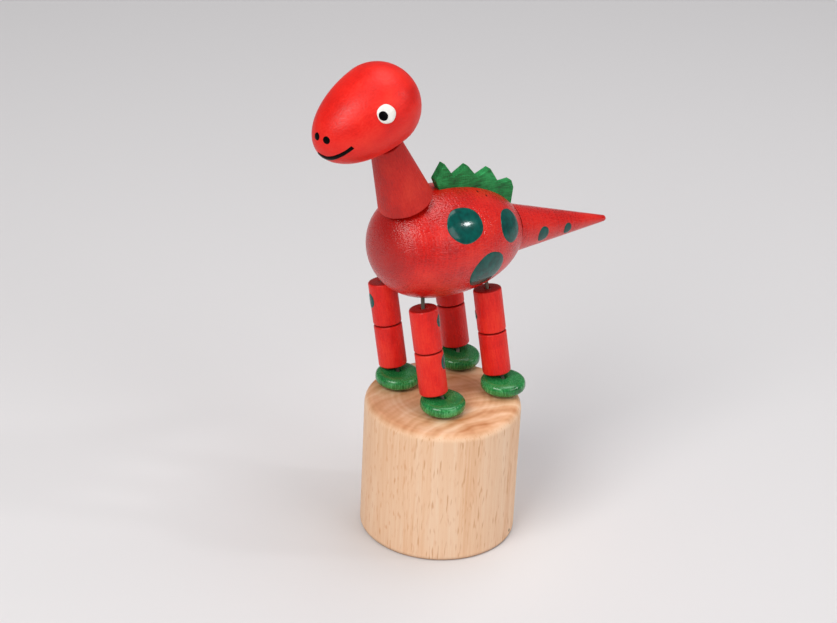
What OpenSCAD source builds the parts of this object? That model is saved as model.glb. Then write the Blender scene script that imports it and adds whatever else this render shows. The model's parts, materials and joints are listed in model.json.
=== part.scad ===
// Wooden collapsing dinosaur on a push-button base.
// Beads on taut strings stand on a hollow base. A button in the base, pushed up against its spring,
// slackens the strings, so that the knees fold and the neck and head nod.
// The toy faces -Y, its left side is +X, and the origin is the centre of the base's bottom face.

/* [Base] */
// Diameter of the base
base_d = 38; // [37.5:0.5:44]
// Height of the base
base_h = 35; // [32:0.5:40]
// Radius of the base's top edge
base_top_round = 2; // [0.5:0.25:3]
// Radius of the base's bottom edge
base_bottom_round = 0.75; // [0.5:0.25:1]
// Thickness of the wall around the bore that the button slides in
wall_t = 2.5; // [2.4:0.1:2.7]
// Thickness of wood above the bore
ceiling_t = 8; // [6:0.5:10]
// Diameter of the string holes in the base
base_hole_d = 2.6; // [2.5:0.1:2.8]

/* [Button and spring] */
// Thickness of the button
button_t = 8; // [6:0.5:9]
// How far the button sits above the base's bottom face
button_recess = 5; // [4.5:0.25:6]
// How far the button can be pushed up
button_travel = 8; // [6:0.5:8]
// Gap between the button's side and the bore
button_gap = 0.3; // [0.2:0.05:0.4]
// Diameter of the string holes in the button
button_hole_d = 2.2; // [1.8:0.1:2.6]
// Diameter of the spring's wire
wire_d = 0.9; // [0.7:0.05:1]
// Diameter of the spring at the middle of its wire
spring_d = 10; // [8:0.5:10.5]
// Number of turns in the spring
spring_turns = 5; // [4:1:5]

/* [Strings] */
// Diameter of the strings
string_d = 1; // [0.8:0.1:1.1]
// Diameter of the knots under the button
knot_d = 2.8; // [2.6:0.1:3.2]

/* [Place of the figure] */
// Sideways place of the figure's middle plane on the base
figure_x = -4.8; // [-4.8:0.2:-2]
// Front-to-back place of the middle of the four legs on the base
figure_y = 3.9; // [2:0.1:3.9]
// Distance between the left and right legs
leg_track = 16.5; // [15.5:0.1:16.5]
// Distance between the front and rear legs
leg_base = 19.2; // [17.6:0.1:19.2]
// How far each foot stands to the toy's left of its leg
foot_aside = 2; // [0.8:0.1:2]
// Distance between the front and rear feet
foot_base = 18.4; // [17:0.1:18.4]
// Place of the middle of the four feet behind the middle of the four legs
foot_behind = 0.3; // [0:0.1:0.4]
// How much further back the left feet stand than the right ones
foot_skew = 1.2; // [0:0.1:1.2]

/* [Feet] */
// Diameter of a foot
foot_d = 11; // [10.5:0.25:11.5]
// Thickness of a foot
foot_t = 3.6; // [3:0.1:4.4]
// Width of a foot's rounded edge
foot_edge = 3.2; // [2.4:0.1:3.3]
// Diameter of the string hole in a foot
foot_hole_d = 3.6; // [3.5:0.1:3.8]

/* [Legs] */
// Diameter of a leg bead
leg_d = 6.9; // [6.4:0.1:7.4]
// Length of a leg bead
leg_len = 10.8; // [10:0.1:12]
// Diameter of the string hole in a leg bead
leg_hole_d = 2.6; // [2.6:0.1:2.8]
// Rounding of the ends of a leg bead
leg_edge = 0.3; // [0.2:0.05:0.6]
// Forward lean of the standing legs in degrees
leg_lean = 3; // [2:0.5:5]
// Lean of the standing legs to the toy's right in degrees
leg_side_lean = 11.5; // [8:0.5:12]

/* [Body] */
// Largest diameter of the body
body_d = 27.2; // [26:0.2:29]
// Length of the body in front of its widest place
body_front = 17.4; // [16:0.2:19]
// Length of the body behind its widest place, before it is cut for the tail
body_rear = 24; // [23.5:0.5:28]
// Bluntness of the front end, 2 for an ellipse
body_bluntness = 2.4; // [2:0.1:2.8]
// Rise of the nose end of the body in degrees
body_rise = 6.5; // [2:0.5:7]
// Place of the widest part of the body behind the middle of its four hips
body_shift = -0.8; // [-1:0.1:1]
// Place of the body to the toy's left of the middle of its four hips
body_aside = 1.1; // [0:0.1:1.2]

/* [Tail] */
// Length of the tail
tail_len = 32.5; // [26:0.5:36]
// Place of the tail's seat behind the widest part of the body
tail_seat = 21.4; // [20.4:0.1:21.8]
// Droop of the tail below the body's axis in degrees
tail_droop = 3.2; // [0:0.2:8]
// Radius of the tail's tip
tail_tip_r = 0.7; // [0.5:0.1:1.2]
// Diameter of the tail's glued peg
peg_d = 4; // [3:0.5:5]
// Length of the tail's glued peg
peg_len = 6; // [4:0.5:8]

/* [Crest] */
// Thickness of the crest
crest_t = 2; // [1.6:0.1:2.6]
// Number of teeth
teeth = 4; // [3:1:5]
// Distance from tooth to tooth
tooth_pitch = 7.2; // [5:0.1:7.2]
// Place of the first tooth's peak in front of the body's widest part
first_peak = 1.9; // [1:0.1:2.2]
// Height of a peak above the body
peak_h = 5.4; // [4.4:0.2:7]
// Extra height of the first peak
first_peak_extra = 1; // [0:0.2:2]
// Height of a valley above the body
valley_h = 2.6; // [2:0.2:4]
// Depth of the slot that the crest is glued in
slot_depth = 1.6; // [1:0.1:2.4]

/* [Neck] */
// Diameter of the neck's lower end
neck_d = 13.4; // [12:0.1:13.5]
// Diameter of the neck's upper end
neck_top_d = 7.5; // [7.2:0.1:9]
// Length of the neck
neck_len = 17.25; // [15:0.25:20]
// Forward tilt of the neck in degrees
neck_tilt = 22; // [21:0.2:25]
// Diameter of the string bore in the neck
neck_hole_d = 3.2; // [3:0.1:3.6]

/* [Head] */
// Largest diameter of the head
head_d = 20; // [18:0.2:21]
// Length of the head in front of its widest place
head_front = 17.9; // [16:0.1:20]
// Length of the head behind its widest place
head_rear = 9.8; // [9:0.2:11]
// Bluntness of the snout, 2 for an ellipse
head_bluntness = 2; // [1.8:0.05:2.2]
// Droop of the snout in degrees
head_droop = 25.7; // [24:0.1:28]
// Depth of the string bore in the head
head_bore = 8; // [6:0.5:10]

/* [Clearances] */
// Gap between stacked beads
bead_gap = 0.15; // [0.1:0.05:0.25]
// Gap between a foot and the base
foot_gap = 0.1; // [0.05:0.05:0.2]
// Gap between the body and what it stands on or carries
seat_gap = 0.3; // [0.2:0.05:0.4]

/* [Hidden] */

$fn = 48;
LEFT = 1;
RIGHT = -1;
FRONT = -1;
REAR = 1;
cut = 1;
profile_steps = 20;
wood = "burlywood";
red = "firebrick";
green = "seagreen";
twine = "ivory";

// Bore and levels in the base
bore_d = base_d - 2 * wall_t;
bore_depth = base_h - ceiling_t;
button_top = button_recess + button_t;
button_r = bore_d / 2 - button_gap;
button_top_round = 0.5;
button_bottom_round = 1;
knot_room = 0.6;
knot_pocket_d = knot_d + knot_room;

// A direction that leans forward from +Z by an angle, and the one square to it towards the rear
function up_dir(angle) = [0, -sin(angle), cos(angle)];
function rear_dir(angle) = [0, cos(angle), sin(angle)];
function turned(p, angle) = [p.x, p.y * cos(angle) - p.z * sin(angle), p.y * sin(angle) + p.z * cos(angle)];

// Joints of one leg: its beads stand along leg_up, and leg_rear is square to that towards the rear
leg_r = leg_d / 2;
leg_turn = [leg_lean, -leg_side_lean, 0];
leg_up = [-cos(leg_lean) * sin(leg_side_lean), -sin(leg_lean), cos(leg_lean) * cos(leg_side_lean)];
leg_rear = [-sin(leg_lean) * sin(leg_side_lean), cos(leg_lean), sin(leg_lean) * cos(leg_side_lean)];
leg_left = cross(leg_rear, leg_up);
foot_bottom = base_h + foot_gap;
foot_top = foot_bottom + foot_t;
function leg_bottom(side, end) = [
    figure_x + side * leg_track / 2,
    figure_y + end * leg_base / 2,
    foot_top + bead_gap + leg_r * sqrt(1 - leg_up.z * leg_up.z)
];
function foot_at(side, end) = [
    leg_bottom(side, end).x + foot_aside,
    figure_y + foot_behind + end * foot_base / 2 + side * foot_skew / 2,
    foot_bottom
];
function knee_below(side, end) = leg_bottom(side, end) + leg_len * leg_up;
function knee_above(side, end) = knee_below(side, end) + bead_gap * leg_up;
function leg_top(side, end) = knee_above(side, end) + leg_len * leg_up;
// A string hole is below its foot, or as near to that as the bore or the button lets it be
hole_margin = 0.1;
pocket_wall = 0.4;
base_reach = (bore_d - base_hole_d) / 2 - hole_margin;
button_reach = button_r - pocket_wall - knot_pocket_d / 2;
function hole_below(side, end, reach) =
    let(foot = [foot_at(side, end).x, foot_at(side, end).y, 0])
    foot * min(1, reach / norm(foot));

// Radius of an egg at a place along its axis, forward positive
function egg_radius(s, front, rear, r, n) =
    s > 0 ? r * pow(max(0, 1 - pow(s / front, n)), 1 / n) : r * sqrt(max(0, 1 - pow(s / rear, 2)));
// Point [up, forward] of an egg's outline where its outward normal is [normal_up, normal_forward]
function egg_touch(normal_up, normal_forward, front, rear, r, n) =
    let(
        half = normal_forward > 0 ? front : rear,
        power = normal_forward > 0 ? n : 2,
        a = half * abs(normal_forward),
        b = r * abs(normal_up),
        k = pow(a, power / (power - 1)) + pow(b, power / (power - 1))
    )
    [
        sign(normal_up) * r * pow(b, 1 / (power - 1)) / pow(k, 1 / power),
        sign(normal_forward) * half * pow(a, 1 / (power - 1)) / pow(k, 1 / power)
    ];

// Body: its own frame has +Y up and +Z forward, and is turned by this angle about X
body_turn = 90 - body_rise;
body_r = body_d / 2;
function body_radius(s) = egg_radius(s, body_front, body_rear, body_r, body_bluntness);
hips = (leg_top(LEFT, FRONT) + leg_top(RIGHT, REAR)) / 2;
body_x = hips.x + body_aside;
body_y = hips.y + body_shift;
// Height of the body's underside above its middle, found in a few steps
function underside(x, y, guess, steps) =
    steps == 0 ? guess :
    let(
        s = -y * cos(body_rise) + guess * sin(body_rise),
        r = body_radius(s),
        v = -sqrt(max(0, r * r - x * x))
    )
    underside(x, y, (v - y * sin(body_rise)) / cos(body_rise), steps - 1);
function rim_point(side, end, angle) =
    leg_top(side, end) + leg_r * (cos(angle) * leg_left + sin(angle) * leg_rear);
function lift(p) = p.z - underside(p.x - body_x, p.y - body_y, -body_r, 6);
body_z = seat_gap + max([
    for (side = [LEFT, RIGHT], end = [FRONT, REAR], angle = [0:10:350])
        lift(rim_point(side, end, angle))
]);
body_at = [body_x, body_y, body_z];
function on_body(p) = body_at + turned(p, body_turn);

// Neck: it stands square on the body, where the body's surface has the neck's tilt
neck_dir = up_dir(neck_tilt);
neck_lean = neck_tilt + body_rise;
neck_seat = egg_touch(cos(neck_lean), sin(neck_lean), body_front, body_rear, body_r, body_bluntness);
neck_at = on_body([0, neck_seat[0], neck_seat[1]]) + seat_gap * neck_dir;
neck_top = neck_at + neck_len * neck_dir;

// Head: it rests on the neck's upper end, where the head's surface is square to the neck
head_turn = 90 + head_droop;
head_r = head_d / 2;
head_lean = head_droop - neck_tilt;
head_seat = egg_touch(-cos(head_lean), sin(head_lean), head_front, head_rear, head_r, head_bluntness);
head_at = neck_top + seat_gap * neck_dir - turned([0, head_seat[0], head_seat[1]], head_turn);

// Strings: where the front pair meets inside the body, and where the rear pair ends
strings_apart = 0.62;
hole_end = 1;
neck_bore_depth = 15;
front_meet = neck_at - (neck_bore_depth - hole_end) * neck_dir;
rear_anchor_in = 3;
rear_anchor_up = 10;
function anchor(side, end) =
    end == FRONT ? front_meet + [side * strings_apart, 0, 0]
                 : leg_top(side, end) + [-side * rear_anchor_in, 0, rear_anchor_up];

// Joint axes, printed for the record; a hinge turns about X
hip_offset = leg_r / 2;
neck_pivot_offset = 2;
head_pivot_offset = 3.2;
for (side = [LEFT, RIGHT], end = [FRONT, REAR])
    echo(
        side = side, end = end,
        foot = foot_at(side, end) - [0, foot_d / 2 - foot_t / 2, foot_gap / 2],
        ankle = leg_bottom(side, end) - leg_r * leg_rear - [0, 0, bead_gap / 2],
        knee = knee_below(side, end) + leg_r * leg_rear + bead_gap / 2 * leg_up,
        hip = leg_top(side, end) - hip_offset * leg_rear
    );
echo(neck_pivot = neck_at - neck_pivot_offset * rear_dir(neck_tilt));
echo(head_pivot = neck_top - head_pivot_offset * rear_dir(neck_tilt));
echo(body_at = body_at, neck_at = neck_at, head_at = head_at);

// A straight round bar from p to q
module bar(p, q, d) {
    v = q - p;
    length = norm(v);
    translate(p)
        rotate([0, acos(v.z / length), atan2(v.y, v.x)])
            cylinder(d = d, h = length);
}

// A closed skin over a list of rings, which all have the same number of points
module skin(rings) {
    sides = len(rings[0]);
    last = (len(rings) - 1) * sides;
    walls = [
        for (i = [0:len(rings) - 2], k = [0:sides - 1])
            let(
                a = i * sides + k,
                b = i * sides + (k + 1) % sides
            )
            each [[a, b, b + sides], [a, b + sides, a + sides]]
    ];
    first_end = [for (k = [1:sides - 2]) [0, k + 1, k]];
    last_end = [for (k = [1:sides - 2]) [last, last + k, last + k + 1]];
    polyhedron(points = [for (r = rings) each r], faces = concat(walls, first_end, last_end));
}

// The ring round a point of a string, square to the string's way there
string_sides = 8;
function unit(v) = v / norm(v);
function string_ring(point, way, r) =
    let(
        across = unit(cross([0, 1, 0], way)),
        over = cross(way, across)
    )
    [for (k = [0:string_sides - 1])
        let(a = 360 * k / string_sides)
        point + r * (cos(a) * across + sin(a) * over)];
function way_at(points, i) =
    let(last = len(points) - 1)
    unit(
        (i > 0 ? unit(points[i] - points[i - 1]) : [0, 0, 0]) +
        (i < last ? unit(points[i + 1] - points[i]) : [0, 0, 0])
    );

// A disc or drum with rounded edges
module rounded_drum(d, h, top_round, bottom_round) {
    rotate_extrude() {
        square([d / 2 - max(top_round, bottom_round), h]);
        translate([0, bottom_round])
            square([d / 2, h - top_round - bottom_round]);
        square([d / 2 - bottom_round, bottom_round]);
        translate([0, h - top_round])
            square([d / 2 - top_round, top_round]);
        intersection() {
            translate([d / 2 - top_round, h - top_round])
                circle(r = top_round);
            translate([0, h - top_round])
                square([d / 2, top_round]);
        }
        intersection() {
            translate([d / 2 - bottom_round, bottom_round])
                circle(r = bottom_round);
            square([d / 2, bottom_round]);
        }
    }
}

// A turned egg along +Z, its blunt or pointed front at +Z
module egg(front, rear, r, n) {
    front_half = [for (i = [0:profile_steps])
        let(t = 90 * i / profile_steps)
        [r * pow(cos(t), 2 / n), front * pow(sin(t), 2 / n)]];
    rear_half = [for (i = [profile_steps:-1:1])
        let(t = 90 * i / profile_steps)
        [r * cos(t), -rear * sin(t)]];
    rotate_extrude()
        polygon(concat(rear_half, front_half));
}

module base_block() {
    color(wood)
    difference() {
        rounded_drum(base_d, base_h, base_top_round, base_bottom_round);
        translate([0, 0, -cut])
            cylinder(d = bore_d, h = bore_depth + cut);
        for (side = [LEFT, RIGHT], end = [FRONT, REAR])
            translate(hole_below(side, end, base_reach))
                cylinder(d = base_hole_d, h = base_h + cut);
    }
}

module push_button() {
    color(wood)
    difference() {
        translate([0, 0, button_recess])
            rounded_drum(2 * button_r, button_t, button_top_round, button_bottom_round);
        for (side = [LEFT, RIGHT], end = [FRONT, REAR])
            translate(hole_below(side, end, button_reach)) {
                cylinder(d = button_hole_d, h = button_top + cut);
                cylinder(d = knot_pocket_d, h = button_recess + knot_d);
            }
    }
}

// The spring's end turns lie closed, and its ends are ground flat
spring_rings = 8;
spring_sides = 6;
spring_bottom = button_top;
spring_h = bore_depth - button_top;
closed_turn = 1;
coil_gap = 0.6;
function spring_z(turn) =
    let(
        low = wire_d / 2,
        high = spring_h - wire_d / 2,
        closed_rise = wire_d + coil_gap,
        last = spring_turns - closed_turn
    )
    turn < closed_turn ? low + closed_rise * turn / closed_turn :
    turn > last ? high - closed_rise * (spring_turns - turn) / closed_turn :
    low + closed_rise + (high - low - 2 * closed_rise) * (turn - closed_turn) / (last - closed_turn);
function spring_point(turn) =
    [spring_d / 2 * cos(360 * turn), spring_d / 2 * sin(360 * turn), spring_bottom + spring_z(turn)];
spring_count = spring_turns * spring_rings;
spring_path = [for (i = [0:spring_count]) spring_point(i / spring_rings)];
spring_clear = min([
    for (i = [0:spring_count], j = [i + spring_rings - 2:1:spring_count])
        norm(spring_path[i] - spring_path[j])
]) - wire_d;
echo(spring_least_gap = spring_clear);
// Height that is left between the spring's turns when the button is pushed all the way
spring_closed_h = (spring_turns + closed_turn) * wire_d;
echo(spring_room_left = spring_h - button_travel - spring_closed_h);

module return_spring() {
    color("silver")
    skin([
        for (i = [0:spring_count])
            let(out = [cos(360 * i / spring_rings), sin(360 * i / spring_rings), 0])
            [for (k = [0:spring_sides - 1])
                let(a = 360 * (k + 0.5) / spring_sides)
                spring_path[i] + wire_d / 2 * (cos(a) * out + sin(a) * [0, 0, 1])]
    ]);
}

// A flattened bead: flat faces round the hole, and an edge that is half an ellipse
module foot(side, end) {
    flat_r = foot_d / 2 - foot_edge;
    color(green)
    translate(foot_at(side, end))
        rotate_extrude()
            difference() {
                union() {
                    square([flat_r, foot_t]);
                    translate([flat_r, foot_t / 2])
                        scale([foot_edge, foot_t / 2])
                            circle(r = 1);
                }
                translate([-foot_edge, 0])
                    square([foot_edge + foot_hole_d / 2, foot_t]);
            }
}

module leg_bead(bottom) {
    color(red)
    translate(bottom)
        rotate(leg_turn)
            difference() {
                rounded_drum(leg_d, leg_len, leg_edge, leg_edge);
                translate([0, 0, -cut])
                    cylinder(d = leg_hole_d, h = leg_len + 2 * cut);
            }
}

module body() {
    color(red)
    difference() {
        translate(body_at)
            rotate([body_turn, 0, 0])
                egg(body_front, body_rear, body_r, body_bluntness);
        tail_place()
            translate([0, 0, -peg_len])
                cylinder(d = peg_d, h = peg_len + cut);
        tail_place()
            cylinder(r = body_r, h = body_rear);
        crest_plate();
        bar(neck_at + cut * neck_dir, neck_at - neck_bore_depth * neck_dir, neck_hole_d);
        for (side = [LEFT, RIGHT], end = [FRONT, REAR]) {
            into = anchor(side, end) - leg_top(side, end);
            bar(leg_top(side, end), anchor(side, end) + hole_end * unit(into), leg_hole_d);
        }
    }
}

// The tail's own frame has its seat at the origin and +Z along the tail
module tail_place() {
    translate(on_body([0, 0, -tail_seat]))
        rotate([body_turn - 180 - tail_droop, 0, 0])
            children();
}

module tail() {
    seat_r = body_radius(-tail_seat);
    color(red)
    tail_place() {
        rotate_extrude()
            difference() {
                union() {
                    polygon([
                        [0, 0], [seat_r, 0], [tail_tip_r, tail_len - tail_tip_r], [0, tail_len - tail_tip_r]
                    ]);
                    translate([0, tail_len - tail_tip_r])
                        circle(r = tail_tip_r);
                }
                translate([-seat_r, 0])
                    square([seat_r, tail_len + cut]);
            }
        translate([0, 0, -peg_len])
            cylinder(d = peg_d, h = peg_len);
    }
}

// The crest's outline in the body's frame: [forward, up], feet in the slot, teeth above the body
crest_front_reach = 0.5;
crest_tip_reach = 2;
crest_back_reach = 1;
last_corner_share = 0.8;
slot_steps = 12;
crest_front = first_peak + crest_front_reach;
crest_tip = first_peak + crest_tip_reach;
crest_back = first_peak - tooth_pitch * (teeth - 1) - crest_back_reach;
function crest_s(i) = crest_front + (crest_back - crest_front) * i / slot_steps;
crest_foot = [for (i = [slot_steps:-1:0]) [crest_s(i), body_radius(crest_s(i)) - slot_depth]];
crest_nose = [
    [crest_front, body_radius(crest_front)],
    [crest_tip, body_radius(crest_tip) + valley_h]
];
crest_teeth = [
    for (i = [0:teeth - 1])
        let(
            peak = first_peak - i * tooth_pitch,
            valley = peak - tooth_pitch / 2
        )
        each [
            [peak, body_radius(peak) + peak_h + (i == 0 ? first_peak_extra : 0)],
            if (i < teeth - 1) [valley, body_radius(valley) + valley_h]
        ]
];
crest_end = [[crest_back, body_radius(crest_back) + last_corner_share * peak_h]];

module crest_plate() {
    translate(body_at)
        rotate([body_turn, 0, 0])
            rotate([0, -90, 0])
                translate([0, 0, -crest_t / 2])
                    linear_extrude(crest_t)
                        polygon(concat(crest_foot, crest_nose, crest_teeth, crest_end));
}

module crest() {
    color(green)
    crest_plate();
}

module neck() {
    color(red)
    translate(neck_at)
        rotate([neck_tilt, 0, 0])
            difference() {
                cylinder(d1 = neck_d, d2 = neck_top_d, h = neck_len);
                translate([0, 0, -cut])
                    cylinder(d = neck_hole_d, h = neck_len + 2 * cut);
            }
}

module head() {
    color(red)
    difference() {
        translate(head_at)
            rotate([head_turn, 0, 0])
                egg(head_front, head_rear, head_r, head_bluntness);
        bar(neck_top, neck_top + (head_bore + seat_gap) * neck_dir, neck_hole_d);
    }
}

// A string's route from its knot under the button to its glued end
in_ceiling = -0.3;
out_of_base = 0.38;
out_of_foot = 0.5;
into_leg = 3;
function base_run(side, end) =
    let(
        foot = [foot_at(side, end).x, foot_at(side, end).y, 0],
        leg = [leg_bottom(side, end).x, leg_bottom(side, end).y, 0],
        low = hole_below(side, end, button_reach),
        hole = hole_below(side, end, base_reach)
    )
    [
        low + [0, 0, button_recess + knot_d],
        low + [0, 0, button_top],
        hole + in_ceiling * (foot - hole) + [0, 0, bore_depth],
        hole + out_of_base * (foot - hole) + [0, 0, base_h],
        foot + out_of_foot * (leg - foot) + [0, 0, foot_top],
        leg_bottom(side, end) + into_leg * leg_up,
        leg_top(side, end),
        anchor(side, end)
    ];
head_run_in = head_bore - hole_end;
function head_run(side) = [
    neck_at + [side * strings_apart, 0, 0],
    neck_top + head_run_in * neck_dir + [side * strings_apart, 0, 0]
];

// Rings of the knot, as [height above its middle, radius] in shares of its radius
knot_rings = [[-0.95, 0.3], [-0.6, 0.8], [0, 1], [0.6, 0.8]];

module leg_string(side, end) {
    route = concat(base_run(side, end), end == FRONT ? head_run(side) : []);
    knot_at = hole_below(side, end, button_reach) + [0, 0, button_recess + knot_d / 2];
    color(twine)
    skin(concat(
        [for (k = knot_rings)
            string_ring(knot_at + [0, 0, k[0] * knot_d / 2], [0, 0, 1], k[1] * knot_d / 2)],
        [for (i = [0:len(route) - 1]) string_ring(route[i], way_at(route, i), string_d / 2)]
    ));
}

base_block();
push_button();
return_spring();
foot(LEFT, FRONT);  // foot_front_left
foot(RIGHT, FRONT);  // foot_front_right
foot(LEFT, REAR);  // foot_rear_left
foot(RIGHT, REAR);  // foot_rear_right
leg_bead(leg_bottom(LEFT, FRONT));  // lower_leg_front_left
leg_bead(leg_bottom(RIGHT, FRONT));  // lower_leg_front_right
leg_bead(leg_bottom(LEFT, REAR));  // lower_leg_rear_left
leg_bead(leg_bottom(RIGHT, REAR));  // lower_leg_rear_right
leg_bead(knee_above(LEFT, FRONT));  // upper_leg_front_left
leg_bead(knee_above(RIGHT, FRONT));  // upper_leg_front_right
leg_bead(knee_above(LEFT, REAR));  // upper_leg_rear_left
leg_bead(knee_above(RIGHT, REAR));  // upper_leg_rear_right
body();
crest();
tail();
neck();
head();
leg_string(LEFT, FRONT);  // string_front_left
leg_string(RIGHT, FRONT);  // string_front_right
leg_string(LEFT, REAR);  // string_rear_left
leg_string(RIGHT, REAR);  // string_rear_right
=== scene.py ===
"""Looks of a wooden push puppet: a long-necked dinosaur of strung beads on a push-button base.

The toy is turned, drilled and sawn from beech. The beads carry a thin red or green varnish that lets
the wood's grain through, the face and the spots are drops of thick enamel, and the base is bare.
Sizes are in millimetres, as in the part's source, and become metres when a piece is finished.
"""

import json
import logging
import math
from collections.abc import Iterator, Sequence
from dataclasses import dataclass
from enum import Enum

import bmesh
import bpy
from bmesh.types import BMEdge, BMesh
from bpy.types import Material, NodeSocket, NodeTree, Object
from mathutils import Matrix, Vector
from mathutils.bvhtree import BVHTree


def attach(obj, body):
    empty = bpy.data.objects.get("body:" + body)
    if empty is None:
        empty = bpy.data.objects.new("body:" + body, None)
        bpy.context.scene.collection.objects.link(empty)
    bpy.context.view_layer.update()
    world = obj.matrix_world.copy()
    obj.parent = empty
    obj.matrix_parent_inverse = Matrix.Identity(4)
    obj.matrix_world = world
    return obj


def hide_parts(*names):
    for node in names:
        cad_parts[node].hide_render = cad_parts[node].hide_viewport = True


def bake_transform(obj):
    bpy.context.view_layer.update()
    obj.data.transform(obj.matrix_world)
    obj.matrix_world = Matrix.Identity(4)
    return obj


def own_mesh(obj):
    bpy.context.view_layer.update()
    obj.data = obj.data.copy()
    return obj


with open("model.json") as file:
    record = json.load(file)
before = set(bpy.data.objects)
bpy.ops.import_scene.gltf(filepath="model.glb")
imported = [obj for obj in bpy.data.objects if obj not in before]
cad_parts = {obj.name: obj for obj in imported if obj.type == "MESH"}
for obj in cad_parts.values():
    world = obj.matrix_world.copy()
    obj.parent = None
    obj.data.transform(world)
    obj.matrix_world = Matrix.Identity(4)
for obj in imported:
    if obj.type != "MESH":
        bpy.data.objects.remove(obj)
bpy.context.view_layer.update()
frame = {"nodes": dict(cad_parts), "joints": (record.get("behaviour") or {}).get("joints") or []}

MM = 0.001
# Faces round a turned piece, round the wider base and button, and in a rounded corner
SPIN_STEPS = 96
DRUM_STEPS = 128
ROUND_STEPS = 5
# Rings in each half of an egg
EGG_STEPS = 28
# Points nearer than this become one: on new shapes, and on CAD shapes, whose metres are coarser
WELD_MM = 1e-4
CAD_WELD_MM = 1e-3
# Edges bent more than this stay sharp after drilling
SHARP_DEG = 40
# Blender's count for a tube of twelve faces
TUBE_ROUND = 4
# Names of the two attributes that materials read: the place in the wood, and how square to the grain
GRAIN = "grain"
END_GRAIN = "end_grain"
# The wood's pattern starts this many millimetres further on at most, from one piece to another
GRAIN_SHIFTS = 97
UP = Vector((0.0, 0.0, 1.0))
LOG = logging.getLogger("push_puppet")


class Side(Enum):
    """Which side of the toy a piece is on, as the sign of its X."""

    LEFT = 1
    RIGHT = -1


class End(Enum):
    """Which end of the toy a piece is at, as the sign of its Y."""

    FRONT = -1
    REAR = 1


class Slot(Enum):
    """The record's material slots."""

    BEECH = "bare_beech"
    RED = "red_paint"
    GREEN = "green_paint"
    STEEL = "spring_steel"
    CORD = "cord"


def linear(colour: str) -> tuple[float, float, float, float]:
    """Turns an sRGB hex colour into linear light.

    Args:
        colour: six hex digits, without a hash sign.

    Returns:
        Red, green, blue and alpha, as a shader socket takes them.
    """
    parts = [int(colour[i : i + 2], 16) / 255 for i in (0, 2, 4)]
    lit = [c / 12.92 if c <= 0.04045 else ((c + 0.055) / 1.055) ** 2.4 for c in parts]
    return (lit[0], lit[1], lit[2], 1.0)


def add_node(
    tree: NodeTree,
    kind: str,
    inputs: dict[str | int, object] | None = None,
    out: str | int = 0,
    stops: Sequence[tuple[float, str]] = (),
    **settings: object,
) -> NodeSocket:
    """Adds a node with its settings and links.

    Args:
        tree: the material's node tree.
        kind: the node's type name, without the leading ShaderNode.
        inputs: socket name or number, to a value or to the output socket that feeds it.
        out: name or number of the output socket that is wanted.
        stops: a colour ramp's places from 0 to 1, each with its sRGB hex colour.
        settings: attributes of the node itself.

    Returns:
        The wanted output socket.
    """
    node = tree.nodes.new("ShaderNode" + kind)
    for name, value in settings.items():
        setattr(node, name, value)
    for key, value in (inputs or {}).items():
        if isinstance(value, NodeSocket):
            tree.links.new(value, node.inputs[key])
        else:
            node.inputs[key].default_value = value
    if stops:
        elements = node.color_ramp.elements
        while len(elements) < len(stops):
            elements.new(0.5)
        for element, (place, colour) in zip(elements, stops):
            element.position = place
            element.color = linear(colour)
    return node.outputs[out]


def grain(
    tree: NodeTree,
    place: NodeSocket,
    across_mm: float,
    along_mm: float,
    detail: float = 2.0,
    shift: float = 0.0,
) -> NodeSocket:
    """Adds a pattern of grains that are longer one way than the other.

    Args:
        tree: the material's node tree.
        place: the vector socket, in metres, with Z along the piece.
        across_mm: size of a grain across the piece.
        along_mm: size of a grain along the piece.
        detail: octaves of finer grains.
        shift: moves the pattern, so that two layers differ.

    Returns:
        The pattern's value socket, from 0 to 1 around 0.5.
    """
    scale = (1 / (across_mm * MM), 1 / (across_mm * MM), 1 / (along_mm * MM))
    moved = {"Vector": place, "Location": (shift, shift, shift), "Scale": scale}
    at = add_node(tree, "Mapping", moved)
    return add_node(tree, "TexNoise", {"Vector": at, "Scale": 1.0, "Detail": detail})


def weighed(tree: NodeTree, *parts: tuple[NodeSocket, float]) -> NodeSocket:
    """Adds up patterns, each about its middle of 0.5.

    Args:
        tree: the material's node tree.
        parts: value sockets and their weights.

    Returns:
        A value socket, 0.5 where every pattern is at its middle.
    """
    total: NodeSocket | float = 0.5 - 0.5 * sum(weight for _, weight in parts)
    for pattern, weight in parts:
        terms = {0: pattern, 1: weight, 2: total}
        total = add_node(tree, "Math", terms, operation="MULTIPLY_ADD")
    return total


class Finish:
    """The finish of a real surface, told by what feeds its Principled shader."""

    name: str

    def sockets(self, tree: NodeTree) -> dict[str, object]:
        """The shader's inputs by name, each a value or the socket that feeds it."""
        raise NotImplementedError

    def make(self) -> Material:
        """Builds the material.

        Returns:
            The material, named after the real one.
        """
        material = bpy.data.materials.new(self.name)
        material.use_nodes = True
        tree = material.node_tree
        tree.nodes.clear()
        surface = add_node(tree, "BsdfPrincipled", self.sockets(tree))
        out = tree.nodes.new("ShaderNodeOutputMaterial")
        tree.links.new(surface, out.inputs["Surface"])
        return material


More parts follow.
